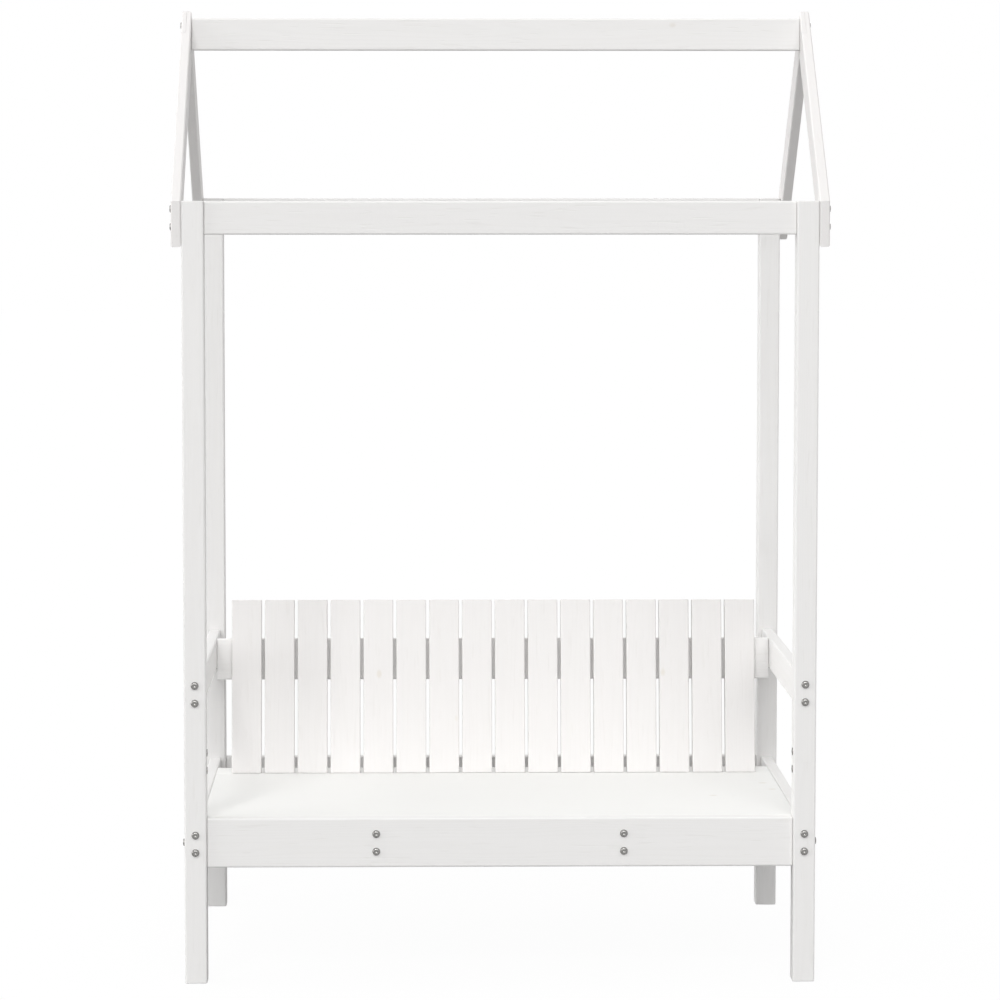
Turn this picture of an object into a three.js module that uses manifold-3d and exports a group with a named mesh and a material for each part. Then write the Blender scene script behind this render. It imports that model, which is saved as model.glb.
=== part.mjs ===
// Two-seat garden arbour seat in planed, white-painted softwood.
// Four spliced posts carry the seat frame, the arm rails and an open pitched roof frame,
// and a raked back of sixteen slats stands on the seat.
// Millimetres, +Z up. The seat faces -Y and left is -X. The origin is on the ground, under the middle.
import * as THREE from "three";
import { mergeVertices } from "three/addons/utils/BufferGeometryUtils.js";
import Module from "manifold-3d";

const wasm = await Module();
wasm.setup();

// Overall sizes
const frameWidth = 1140; // over the outer faces of the posts
const frameDepth = 704; // over the outer faces of the posts
const postHeight = 1413; // ground to the post tops
const seatHeight = 300; // ground to the seat surface
const armHeight = 557; // ground to the top of the arm rails
const spliceShare = 0.518; // place of the joint between leg and post, up the gap from seat to arm rail
const roofPitch = THREE.MathUtils.degToRad(45);
const backLean = THREE.MathUtils.degToRad(7.5);

// Timber sections
const postSize = 40;
const railThickness = 22;
const railHeight = 60;
const apronHeight = 90;
const rafterWidth = 58;
const rafterThickness = 18;
const seatThickness = 18;
const cleatSize = 20;
const arris = 3; // radius of the eased long edges
const thinArris = 2; // radius on the thinner boards
const endEase = 1; // chamfer round the sawn ends

// Seat and back
const footBoardDepth = 67;
const rearGap = 125; // open space between the foot board and the back apron
const bearerSpacing = 448; // between the middles of the two seat bearers
const backInset = 30; // arm rail to the first slat
const slatCount = 16;
const slatGap = 6;
const slatLength = 336;
const slatThickness = 18;
const backBeamHeight = 80;

// Roof frame
const ridgeDrop = 2; // ridge set below the middle of the apex lap

// Splice between leg and post
const mortiseSize = 19;
const mortiseDepth = 50;

// Bolts with barrel nuts
const boltDiameter = 8;
const boltHeadDiameter = 14;
const boltHeadHeight = 4.4;
const boltRim = 0.9;
const boltCrownDiameter = 7.6;
const boltTip = 1;
const socketAcross = 5;
const socketSides = 6;
const socketDepth = 2.6;
const boltPitch = 32; // between the two bolts of a pair
const barrelDiameter = 10;
const barrelInset = 30; // end of the rail to the middle of the nut
const boltPastNut = 6; // tip of the bolt past the middle of the nut
const barrelWall = 4; // wood left under the nut

// Clearances
const jointGap = 0.3; // between two pieces that bear on each other
const holeClearance = 0.3; // round a shank or a nut
const boreSpare = 3; // past the tip of a bolt
const overrun = 5; // how far a cutting tool runs out of the wood
const weld = 1e-3;

// Fineness of the round forms
const cornerSteps = 2;
const holeSides = 8;
const headSides = 12;
const domeSteps = 2;

// Lines that several pieces share
const postX = (frameWidth - postSize) / 2;
const postY = (frameDepth - postSize) / 2;
const crossLength = frameWidth - 2 * postSize - 2 * jointGap;
const sideLength = frameDepth - 2 * postSize - 2 * jointGap;
const apronZ = seatHeight - apronHeight / 2;
const armZ = armHeight - railHeight / 2;
const topRailZ = postHeight - railHeight / 2;
const innerWidth = 2 * postX - railThickness; // between the faces of the side rails
const innerDepth = 2 * postY - railThickness; // between the faces of the aprons
const underSeat = seatHeight - seatThickness;
const slatFootY = innerDepth / 2 - rearGap - footBoardDepth;
const spliceHeight = seatHeight + (armHeight - railHeight - seatHeight) * spliceShare;
const boltPair = [-boltPitch / 2, boltPitch / 2];
const alongX = new THREE.Vector3(1, 0, 0);
const alongY = new THREE.Vector3(0, 1, 0);

// Solids: three.js geometry in, three.js geometry out
function solidOf(geometry) {
  const bare = geometry.clone();
  bare.deleteAttribute("normal");
  bare.deleteAttribute("uv");
  const merged = mergeVertices(bare, weld);
  const triVerts = new Uint32Array(merged.index.array);
  const vertProperties = merged.attributes.position.array;
  return new wasm.Manifold(new wasm.Mesh({ numProp: 3, vertProperties, triVerts }));
}

function cut(solid, tools) {
  return tools.reduce((rest, tool) => rest.subtract(tool), solid);
}

function geometryOf(solid) {
  const mesh = solid.getMesh();
  const geometry = new THREE.BufferGeometry();
  geometry.setAttribute("position", new THREE.BufferAttribute(mesh.vertProperties, 3));
  geometry.setIndex(new THREE.BufferAttribute(mesh.triVerts, 1));
  geometry.computeVertexNormals();
  return geometry;
}

// A rectangle with rounded corners, centred.
function roundedRectangle(width, height, radius) {
  const corners = [
    [1, -1],
    [1, 1],
    [-1, 1],
    [-1, -1],
  ];
  const points = [];
  corners.forEach(([signX, signY], quarter) => {
    for (let step = 0; step <= cornerSteps; step++) {
      const angle = (quarter - 1 + step / cornerSteps) * (Math.PI / 2);
      const x = signX * (width / 2 - radius) + radius * Math.cos(angle);
      const y = signY * (height / 2 - radius) + radius * Math.sin(angle);
      points.push(new THREE.Vector2(x, y));
    }
  });
  return new THREE.Shape(points);
}

// An outline extruded from z = 0 to the given length, with a small chamfer round both ends.
function easedExtrusion(shape, length, ease) {
  const geometry = new THREE.ExtrudeGeometry(shape, {
    depth: length - 2 * ease,
    bevelThickness: ease,
    bevelSize: ease,
    bevelOffset: -ease,
    bevelSegments: 1,
  });
  geometry.translate(0, 0, ease);
  return geometry;
}

// Planed timber that stands on z = 0.
function upright(width, depth, length, radius) {
  return solidOf(easedExtrusion(roundedRectangle(width, depth, radius), length, endEase));
}

// Planed timber that lies along X, centred, with its height along Z.
function board(length, height, thickness, radius) {
  const geometry = easedExtrusion(roundedRectangle(height, thickness, radius), length, endEase);
  geometry.translate(0, 0, -length / 2);
  geometry.rotateY(Math.PI / 2);
  return solidOf(geometry);
}

// A cutting tool for a round bore: it runs from a face into the wood.
function bore(diameter, start, direction, depth) {
  const radius = (diameter / 2 + holeClearance) / Math.cos(Math.PI / holeSides);
  const geometry = new THREE.CylinderGeometry(radius, radius, depth + overrun, holeSides);
  geometry.translate(0, (depth - overrun) / 2, 0);
  geometry.applyQuaternion(new THREE.Quaternion().setFromUnitVectors(alongY, direction));
  geometry.translate(start.x, start.y, start.z);
  return solidOf(geometry);
}

// A bore right through a piece that is centred on the axis.
function throughBore(axis, thickness, x, z) {
  const start = new THREE.Vector3(x, 0, z).addScaledVector(axis, -thickness / 2);
  return bore(boltDiameter, start, axis, thickness + overrun);
}

// Bolt bores in both ends of a rail, each with its cross bore for a barrel nut.
function endBores(length, thickness, heights, nutFace) {
  const bores = [];
  for (const end of [-1, 1]) {
    for (const z of heights) {
      const endFace = new THREE.Vector3((end * length) / 2, 0, z);
      const inwards = alongX.clone().multiplyScalar(-end);
      const reach = barrelInset + boltPastNut + boreSpare;
      bores.push(bore(boltDiameter, endFace, inwards, reach));
      const nutStart = endFace.clone().addScaledVector(inwards, barrelInset);
      nutStart.y = (nutFace * thickness) / 2;
      const across = alongY.clone().multiplyScalar(-nutFace);
      bores.push(bore(barrelDiameter, nutStart, across, thickness - barrelWall));
    }
  }
  return bores;
}

// Finishes, one material for each piece
function paintedWood() {
  return new THREE.MeshStandardMaterial({ color: 0xe9e8e6, roughness: 0.55, metalness: 0 });
}

function bareWood() {
  return new THREE.MeshStandardMaterial({ color: 0xd9b98a, roughness: 0.7, metalness: 0 });
}

function plainSteel() {
  return new THREE.MeshStandardMaterial({ color: 0x8c8d8f, roughness: 0.35, metalness: 1 });
}

const arbour = new THREE.Group();

function addPiece(name, geometry, material, parent = arbour) {
  const mesh = new THREE.Mesh(geometry, material);
  mesh.name = name;
  parent.add(mesh);
  return mesh;
}

// The four corners of the plan
const corners = [
  { name: "front_left", x: -1, y: -1 },
  { name: "front_right", x: 1, y: -1 },
  { name: "back_left", x: -1, y: 1 },
  { name: "back_right", x: 1, y: 1 },
];

// The face that the splice bolts enter: the inner side of a front post, the back of a back post.
function spliceFace(corner) {
  return corner.y < 0 ? alongX.clone().multiplyScalar(-corner.x) : alongY.clone();
}

function spliceBore(face, z) {
  const start = face.clone().multiplyScalar(postSize / 2);
  start.z = z;
  return bore(boltDiameter, start, face.clone().negate(), postSize / 2);
}

// A square mortise that opens at one end of a post piece.
function mortise(openEnd, inwards) {
  const depth = mortiseDepth + overrun;
  const geometry = new THREE.BoxGeometry(mortiseSize, mortiseSize, depth);
  geometry.translate(0, 0, openEnd + (inwards * (mortiseDepth - overrun)) / 2);
  return solidOf(geometry);
}

// A square cut across a post piece at the splice, so that the joint stays a fine line.
function squareCut(height, away) {
  const width = postSize + 2 * overrun;
  const geometry = new THREE.BoxGeometry(width, width, overrun);
  geometry.translate(0, 0, height + (away * overrun) / 2);
  return solidOf(geometry);
}

// Leg: side rail bolts run front to back, the apron bolt runs across between them.
function legSolid(corner) {
  const length = spliceHeight - jointGap / 2;
  return cut(upright(postSize, postSize, length + endEase, arris), [
    squareCut(length, 1),
    ...boltPair.map((offset) => throughBore(alongY, postSize, 0, apronZ + offset)),
    throughBore(alongX, postSize, 0, apronZ),
    mortise(length, -1),
    spliceBore(spliceFace(corner), spliceHeight - boltPitch / 2),
  ]);
}

// Post above the splice: arm rail bolts front to back, rafter and top rail bolts across.
function postSolid(corner) {
  const base = spliceHeight + jointGap / 2;
  const timber = upright(postSize, postSize, postHeight - base + endEase, arris);
  return cut(timber.translate([0, 0, -endEase]), [
    squareCut(0, -1),
    mortise(0, 1),
    spliceBore(spliceFace(corner), boltPitch / 2 - jointGap / 2),
    ...boltPair.map((offset) => throughBore(alongY, postSize, 0, armZ + offset - base)),
    ...boltPair.map((offset) => throughBore(alongX, postSize, 0, topRailZ + offset - base)),
  ]);
}

// Loose tongue that fills both mortises, bored for one bolt each side of the joint.
function tongueSolid(corner) {
  const size = mortiseSize - 2 * jointGap;
  const length = 2 * (mortiseDepth - jointGap);
  const face = spliceFace(corner);
  const bores = boltPair.map((offset) => {
    const start = face.clone().multiplyScalar(size / 2);
    start.z = length / 2 + offset;
    return bore(boltDiameter, start, face.clone().negate(), size - barrelWall);
  });
  return cut(upright(size, size, length, thinArris), bores);
}

for (const corner of corners) {
  const x = corner.x * postX;
  const y = corner.y * postY;
  const leg = addPiece(corner.name + "_leg", geometryOf(legSolid(corner)), paintedWood());
  leg.position.set(x, y, 0);
  const post = addPiece(corner.name + "_post", geometryOf(postSolid(corner)), paintedWood());
  post.position.set(x, y, spliceHeight + jointGap / 2);
  const tongue = addPiece(corner.name + "_splice_tongue", geometryOf(tongueSolid(corner)), bareWood());
  tongue.position.set(x, y, spliceHeight - mortiseDepth + jointGap);
}

// Aprons and top rails run between the posts, on their middle line. The nuts enter from the inside.
const apronSolid = cut(board(crossLength, apronHeight, railThickness, arris), [
  ...endBores(crossLength, railThickness, [0], 1),
  ...[-bearerSpacing / 2, bearerSpacing / 2].flatMap((x) =>
    boltPair.map((offset) => throughBore(alongY, railThickness, x, offset)),
  ),
]);
const topRailSolid = cut(
  board(crossLength, railHeight, railThickness, arris),
  endBores(crossLength, railThickness, boltPair, 1),
);

for (const [end, side, turn] of [
  ["front", -1, 0],
  ["back", 1, Math.PI],
]) {
  const apron = addPiece(end + "_apron", geometryOf(apronSolid), paintedWood());
  apron.position.set(0, side * postY, apronZ);
  apron.rotation.z = turn;
  const topRail = addPiece(end + "_top_rail", geometryOf(topRailSolid), paintedWood());
  topRail.position.set(0, side * postY, topRailZ);
  topRail.rotation.z = turn;
}

// A point of the leaning back, from its own frame to the upright one: y behind the slats' front, z up them.
function backPoint(y, z) {
  return {
    y: slatFootY + y * Math.cos(backLean) + z * Math.sin(backLean),
    z: seatHeight + jointGap - y * Math.sin(backLean) + z * Math.cos(backLean),
  };
}

// The beam lies behind the slats, its front edge level with the tops of the arm rails.
const beamFace = slatThickness + jointGap;
const armRise = armHeight - seatHeight - jointGap;
const beamTop = (armRise + beamFace * Math.sin(backLean)) / Math.cos(backLean);
const beamY = beamFace + railThickness / 2;
const beamZ = beamTop - backBeamHeight / 2;

// Side rails of the seat and arm rails run front to back. The nuts enter from the outside.
for (const [name, side] of [
  ["left", -1],
  ["right", 1],
]) {
  const seatRail = cut(
    board(sideLength, apronHeight, railThickness, arris),
    endBores(sideLength, railThickness, boltPair, -side),
  );
  const seatRailMesh = addPiece(name + "_seat_rail", geometryOf(seatRail), paintedWood());
  seatRailMesh.position.set(side * postX, 0, apronZ);
  seatRailMesh.rotation.z = Math.PI / 2;

  const armRail = cut(board(sideLength, railHeight, railThickness, arris), [
    ...endBores(sideLength, railThickness, boltPair, -side),
    ...boltPair.map((offset) => {
      const hole = backPoint(beamY, beamZ + offset);
      return throughBore(alongY, railThickness, hole.y, hole.z - armZ);
    }),
  ]);
  const armRailMesh = addPiece(name + "_arm_rail", geometryOf(armRail), paintedWood());
  armRailMesh.position.set(side * postX, 0, armZ);
  armRailMesh.rotation.z = Math.PI / 2;

  // Bearer under the seat, from apron to apron
  const bearerLength = innerDepth - 2 * jointGap;
  const bearerZ = underSeat - jointGap - railHeight / 2;
  const bearerBolts = boltPair.map((offset) => apronZ + offset - bearerZ);
  const bearer = cut(
    board(bearerLength, railHeight, railThickness, arris),
    endBores(bearerLength, railThickness, bearerBolts, side),
  );
  const bearerMesh = addPiece(name + "_seat_bearer", geometryOf(bearer), paintedWood());
  bearerMesh.position.set((side * bearerSpacing) / 2, 0, bearerZ);
  bearerMesh.rotation.z = Math.PI / 2;

  // Cleat on the inner face of the side rail, under the ends of the seat boards
  const cleatFront = postSize / 2 - postY + jointGap;
  const cleatBack = slatFootY + footBoardDepth;
  const cleat = board(cleatBack - cleatFront, cleatSize, cleatSize, thinArris);
  const cleatMesh = addPiece(name + "_seat_cleat", geometryOf(cleat), paintedWood());
  const cleatX = innerWidth / 2 - jointGap - cleatSize / 2;
  const cleatZ = underSeat - jointGap - cleatSize / 2;
  cleatMesh.position.set(side * cleatX, (cleatBack + cleatFront) / 2, cleatZ);
  cleatMesh.rotation.z = Math.PI / 2;
}

// Seat panel, notched round the front posts, and the board that the back slats stand on
const panelLength = innerWidth - 2 * jointGap;
const panelDepth = slatFootY + innerDepth / 2 - jointGap - jointGap / 2;
const panelY = slatFootY - jointGap / 2 - panelDepth / 2;

function postNotch(side) {
  const width = postSize + 2 * jointGap;
  const geometry = new THREE.BoxGeometry(width, width, seatThickness + 2 * overrun);
  geometry.translate(side * postX, -postY - panelY, 0);
  return solidOf(geometry);
}

const seatPanel = cut(board(panelLength, seatThickness, panelDepth, thinArris), [
  postNotch(-1),
  postNotch(1),
]);
const seatPanelMesh = addPiece("seat_panel", geometryOf(seatPanel), paintedWood());
seatPanelMesh.position.set(0, panelY, seatHeight - seatThickness / 2);

const footDepth = footBoardDepth - jointGap / 2;
const footBoard = board(panelLength, seatThickness, footDepth, thinArris);
const footBoardMesh = addPiece("back_foot_board", geometryOf(footBoard), paintedWood());
const footBoardY = slatFootY + footBoardDepth - footDepth / 2;
footBoardMesh.position.set(0, footBoardY, seatHeight - seatThickness / 2);

// The back leans as one group: sixteen slats with their feet cut level, and the beam behind them
const back = new THREE.Group();
back.position.set(0, slatFootY, seatHeight + jointGap);
back.rotation.x = -backLean;
arbour.add(back);

const backWidth = innerWidth - 2 * backInset;
const slatWidth = (backWidth - (slatCount - 1) * slatGap) / slatCount;

// Everything under the level of the seat, as seen from the leaning frame
function levelFootTool() {
  const size = slatWidth + 2 * overrun;
  const geometry = new THREE.BoxGeometry(size, size, size);
  geometry.translate(0, 0, -size / 2);
  geometry.rotateX(backLean);
  return solidOf(geometry);
}

const slatSolid = upright(slatWidth, slatThickness, slatLength, thinArris)
  .translate([0, slatThickness / 2, 0])
  .subtract(levelFootTool());

for (let index = 0; index < slatCount; index++) {
  const name = "back_slat_" + String(index + 1).padStart(2, "0");
  const slat = addPiece(name, geometryOf(slatSolid), paintedWood(), back);
  slat.position.x = (slatWidth - backWidth) / 2 + index * (slatWidth + slatGap);
}

const beamSolid = cut(
  board(panelLength, backBeamHeight, railThickness, arris),
  endBores(panelLength, railThickness, boltPair, 1),
);
const beam = addPiece("back_beam", geometryOf(beamSolid), paintedWood(), back);
beam.position.set(0, beamY, beamZ);

// Roof frame. A rafter is drawn in the side view, y across and z up, and has its eaves at -y.
// At the apex two rafters are half-lapped: one keeps its outer half, the other its inner half.
// All four are the same board, because the half that is kept changes sides when it is turned over.
const halfSpan = frameDepth / 2;
const apexZ = postHeight + halfSpan * Math.tan(roofPitch);
const plumbCut = rafterWidth / Math.cos(roofPitch);
const lapSide = rafterWidth / Math.sin(2 * roofPitch);
const lapZ = apexZ - plumbCut / 2;
const ridgeZ = lapZ - ridgeDrop;

// From the side view to the frame: drawn x becomes Y, drawn y becomes Z, the thickness goes along +X
const sideView = new THREE.Matrix4().makeBasis(
  alongY,
  new THREE.Vector3(0, 0, 1),
  alongX,
);

function rafterOutline() {
  return new THREE.Shape([
    new THREE.Vector2(-halfSpan, postHeight - plumbCut),
    new THREE.Vector2(lapSide * Math.cos(roofPitch), apexZ - lapSide * Math.sin(roofPitch)),
    new THREE.Vector2(0, apexZ),
    new THREE.Vector2(-halfSpan, postHeight),
  ]);
}

// Removes the inner half of the thickness where the other rafter crosses.
function lapTool() {
  const half = (rafterThickness + jointGap) / 2;
  const width = rafterWidth + jointGap + overrun;
  const geometry = new THREE.BoxGeometry(half + overrun, 2 * rafterWidth + overrun, width);
  geometry.translate(0, 0, (overrun - jointGap) / 2);
  geometry.rotateX(-roofPitch);
  geometry.translate((half - overrun) / 2, 0, lapZ);
  return solidOf(geometry);
}

function rafterSolid() {
  const geometry = easedExtrusion(rafterOutline(), rafterThickness, thinArris);
  geometry.applyMatrix4(sideView);
  const boltPlaces = boltPair.flatMap((offset) => [
    new THREE.Vector3(0, -postY, topRailZ + offset),
    new THREE.Vector3(0, 0, ridgeZ + offset),
  ]);
  const bores = boltPlaces.map((place) =>
    bore(boltDiameter, place, alongX, rafterThickness + overrun),
  );
  return cut(solidOf(geometry), [lapTool(), ...bores]);
}

// A rafter with its eaves at +y is the same board turned over front to back.
function turnedOver(solid) {
  return solid.rotate([0, 0, 180]).translate([rafterThickness, 0, 0]);
}

const outerRafter = rafterSolid();
const innerRafter = turnedOver(outerRafter);

for (const [name, side, turn] of [
  ["right", 1, 0],
  ["left", -1, Math.PI],
]) {
  const x = side * (frameWidth / 2 + jointGap);
  const [outerEnd, innerEnd] = side > 0 ? ["front", "back"] : ["back", "front"];
  const outer = addPiece(outerEnd + "_" + name + "_rafter", geometryOf(outerRafter), paintedWood());
  outer.position.x = x;
  outer.rotation.z = turn;
  const inner = addPiece(innerEnd + "_" + name + "_rafter", geometryOf(innerRafter), paintedWood());
  inner.position.x = x;
  inner.rotation.z = turn;
}

const ridgeLength = frameWidth;
const ridgeSolid = cut(
  board(ridgeLength, railHeight, railThickness, arris),
  endBores(ridgeLength, railThickness, boltPair, 1),
);
const ridge = addPiece("ridge_beam", geometryOf(ridgeSolid), paintedWood());
ridge.position.set(0, 0, ridgeZ);

// Button-head bolt along +Y through a post and into the nut of a rail, its head outside at -Y
function boltGeometry() {
  const length = postSize + barrelInset + boltPastNut;
  const headRadius = boltHeadDiameter / 2;
  const crownRadius = boltCrownDiameter / 2;
  const shankRadius = boltDiameter / 2;
  const profile = [new THREE.Vector2(0, -boltHeadHeight)];
  for (let step = 0; step <= domeSteps; step++) {
    const angle = (step / domeSteps) * (Math.PI / 2);
    const radius = crownRadius + (headRadius - crownRadius) * Math.sin(angle);
    const height = boltRim + (boltHeadHeight - boltRim) * Math.cos(angle);
    profile.push(new THREE.Vector2(radius, -height));
  }
  profile.push(new THREE.Vector2(headRadius, 0));
  profile.push(new THREE.Vector2(shankRadius, 0));
  profile.push(new THREE.Vector2(shankRadius, length - boltTip));
  profile.push(new THREE.Vector2(shankRadius - boltTip, length));
  profile.push(new THREE.Vector2(0, length));
  const socketRadius = socketAcross / 2 / Math.cos(Math.PI / socketSides);
  const socketHeight = socketDepth + overrun;
  const socket = new THREE.CylinderGeometry(socketRadius, socketRadius, socketHeight, socketSides);
  socket.translate(0, (socketDepth - overrun) / 2 - boltHeadHeight, 0);
  const turned = solidOf(new THREE.LatheGeometry(profile, headSides));
  return geometryOf(turned.subtract(solidOf(socket)));
}

// The bolts that hold the arm rails, two through each post, and the aprons, one through each leg
const bolt = boltGeometry();
for (const corner of corners) {
  boltPair.forEach((offset, index) => {
    const armBolt = addPiece(corner.name + "_arm_bolt_" + (index + 1), bolt, plainSteel());
    armBolt.position.set(corner.x * postX, corner.y * (frameDepth / 2 + jointGap), armZ + offset);
    armBolt.rotation.z = corner.y < 0 ? 0 : Math.PI;
  });
  const apronBolt = addPiece(corner.name + "_apron_bolt", bolt, plainSteel());
  apronBolt.position.set(corner.x * (frameWidth / 2 + jointGap), corner.y * postY, apronZ);
  apronBolt.rotation.z = corner.x < 0 ? -Math.PI / 2 : Math.PI / 2;
}

export default arbour;
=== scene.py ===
# %% [markdown]
# An arbour seat is a garden bench under its own small roof frame. This one is planed pine,
# painted white and bolted together. The frame that is loaded here already holds every board
# at its real size, so this script adds what a solid model lacks: the paint over its grain,
# the small steel fasteners, the light and the camera. Lengths are in metres.

# %% Load the boards
from math import cos, pi, radians, sin

import bmesh
import bpy
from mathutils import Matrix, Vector


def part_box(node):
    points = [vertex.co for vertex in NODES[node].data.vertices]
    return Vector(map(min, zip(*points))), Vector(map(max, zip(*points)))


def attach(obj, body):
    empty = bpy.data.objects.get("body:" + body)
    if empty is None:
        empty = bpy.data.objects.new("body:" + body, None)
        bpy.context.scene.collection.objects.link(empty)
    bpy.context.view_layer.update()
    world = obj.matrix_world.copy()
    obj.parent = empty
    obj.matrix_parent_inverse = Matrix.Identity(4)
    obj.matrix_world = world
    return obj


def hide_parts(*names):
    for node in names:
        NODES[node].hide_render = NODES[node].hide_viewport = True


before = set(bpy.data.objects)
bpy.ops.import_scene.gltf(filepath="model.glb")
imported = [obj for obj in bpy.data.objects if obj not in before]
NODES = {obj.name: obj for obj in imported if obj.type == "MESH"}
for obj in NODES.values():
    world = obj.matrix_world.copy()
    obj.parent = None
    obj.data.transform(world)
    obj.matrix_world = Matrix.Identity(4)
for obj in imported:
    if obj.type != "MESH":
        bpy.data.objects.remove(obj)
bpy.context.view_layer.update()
MM = 0.001
print("boards and bolts in the frame:", len(NODES))

# %% [markdown]
# The camera stands in front of the seat, a little left of its middle and at eye height, with a
# long lens, so the far posts look nearly as tall as the near ones. A product photographer keeps
# upright posts upright with a shift lens, which could be copied as it is. Here most of the shift
# is a small tilt of the camera instead, because that keeps the whole roof in the picture when
# the camera is moved round the seat.

# %% Camera
# The sensor and the lens are in millimetres, and a shift is a share of the picture's width.
CAMERA_PLACE = Vector((-0.1664, -6.5599, 1.4644))
TILT_DOWN = radians(4.078)
TURN_RIGHT = radians(0.864)
SENSOR_WIDTH = 36
LENS = 125.16
SHIFT_RIGHT = 0.04
SHIFT_UP = -0.08

camera_data = bpy.data.cameras.new("portrait lens")
camera_data.sensor_width = SENSOR_WIDTH
camera_data.lens = LENS
camera_data.shift_x = SHIFT_RIGHT
camera_data.shift_y = SHIFT_UP
camera = bpy.data.objects.new("camera", camera_data)
camera.location = CAMERA_PLACE
camera.rotation_euler = (pi / 2 - TILT_DOWN, 0, -TURN_RIGHT)
bpy.context.scene.collection.objects.link(camera)
bpy.context.scene.camera = camera
bpy.context.scene.view_settings.view_transform = "Standard"

# %% [markdown]
# Colours are written as the hex values that a paint chart or a screen shows. Blender's shaders
# work in linear light, so one function turns each value over. A second small function adds a
# shader node with its settings and links, so that a material reads as a short list.

# %% Colours and nodes
WHITE = "FFFFFF"


def colour(hex_value):
    """An sRGB hex colour such as "F1F0ED" as linear red, green, blue and alpha."""
    channels = [int(hex_value[i:i + 2], 16) / 255 for i in (0, 2, 4)]
    # The numbers are those of the curve in the sRGB standard.
    return [c / 12.92 if c <= 0.04045 else ((c + 0.055) / 1.055) ** 2.4 for c in channels] + [1.0]


def add_node(tree, kind, inputs=None, **settings):
    """A new node with its settings. An input is a link where an output is given, and else a value."""
    node = tree.nodes.new(kind)
    for name, value in settings.items():
        setattr(node, name, value)
    for name, value in (inputs or {}).items():
        if isinstance(value, bpy.types.NodeSocket):
            tree.links.new(value, node.inputs[name])
        else:
            node.inputs[name].default_value = value
    return node


def new_tree(datablock):
    """The empty node tree of a material or a world."""
    datablock.use_nodes = True
    datablock.node_tree.nodes.clear()
    return datablock.node_tree


print("paint chart grey 808080 in linear light:", round(colour("808080")[0], 3))

# %% [markdown]
# Three lamps light the seat: a small key lamp high on the left, which draws the shadows, and two
# softboxes. A lamp of real size would light the near side of a seat this wide more than the
# far side. A sun lamp has the same strength all over the object, and its angle sets how soft its
# shadows are, so a sun with a wide angle does the work of a large softbox far away.

# %% Lamps
# Degrees to the left of the camera, degrees above the ground, degrees across, and the light on a
# surface that faces the lamp, where 1 would show a perfect white as plain white.
LAMPS = {
    "key lamp": (21, 46, 9, 0.11),
    "front softbox": (0, 28, 50, 0.51),
    "left softbox": (88, 6, 60, 0.67),
}

for name, (azimuth, height, across, level) in LAMPS.items():
    azimuth, height = radians(azimuth), radians(height)
    lamp = bpy.data.lights.new(name, "SUN")
    lamp.energy = level * pi
    lamp.angle = radians(across)
    holder = bpy.data.objects.new(name, lamp)
    towards = Vector((-sin(azimuth) * cos(height), -cos(azimuth) * cos(height), sin(height)))
    holder.rotation_euler = towards.to_track_quat("Z", "Y").to_euler()
    bpy.context.scene.collection.objects.link(holder)

# %% [markdown]
# The seat stands in a white sweep, which is brighter behind it than behind the camera. A sweep
# could be a curved sheet, but that would stand in the way of a camera that is moved round. A
# world whose light changes with the direction does the same from every side. The camera, and
# anything that mirrors the room to it, sees that world as plain white, as in a catalogue.

# %% White surroundings
SURROUNDINGS_BEHIND = 1.05
SURROUNDINGS_IN_FRONT = 0.40


def seen_directly(tree):
    """One for light that goes to the camera straight or by a mirror image, zero for scattered light."""
    path = add_node(tree, "ShaderNodeLightPath")
    mirrored = add_node(tree, "ShaderNodeMath",
                        {0: path.outputs["Is Glossy Ray"], 1: path.outputs["Is Transmission Ray"]},
                        operation="MAXIMUM")
    direct = add_node(tree, "ShaderNodeMath", {0: path.outputs["Is Camera Ray"], 1: mirrored.outputs[0]},
                      operation="MAXIMUM")
    return direct.outputs[0]


world = bpy.data.worlds.new("white studio")
bpy.context.scene.world = world
tree = new_tree(world)
around = add_node(tree, "ShaderNodeTexCoord")
direction = add_node(tree, "ShaderNodeSeparateXYZ", {"Vector": around.outputs["Generated"]})
# The direction's y runs from -1, where the camera stands, to 1, behind the seat.
brightness = add_node(tree, "ShaderNodeMapRange",
                      {"Value": direction.outputs["Y"], "From Min": -1.0, "From Max": 1.0,
                       "To Min": SURROUNDINGS_IN_FRONT, "To Max": SURROUNDINGS_BEHIND})
sweep = add_node(tree, "ShaderNodeBackground", {"Color": colour(WHITE), "Strength": brightness.outputs[0]})
backdrop = add_node(tree, "ShaderNodeBackground", {"Color": colour(WHITE), "Strength": 1.0})
shown = add_node(tree, "ShaderNodeMixShader", {0: seen_directly(tree), 1: sweep.outputs[0],
                                               2: backdrop.outputs[0]})
add_node(tree, "ShaderNodeOutputWorld", {"Surface": shown.outputs[0]})
print("light from behind and from in front:", SURROUNDINGS_BEHIND, SURROUNDINGS_IN_FRONT)

# %% [markdown]
# Under the seat lies studio paper. White paper would throw so much light up under the seat that
# its shaded sides went flat, so the paper is a mid grey for the light that it throws back, and is
# lifted to white for the camera. The lift isn't whole, which keeps the soft shadows at the feet.

# %% Floor
FLOOR_SIDE = 60
FLOOR_GREY = "969696"
# How much of the camera's view of the paper is lifted, and the brightness that it is lifted to
FLOOR_LIFT = 0.88
GLOW = 1.09

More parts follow.
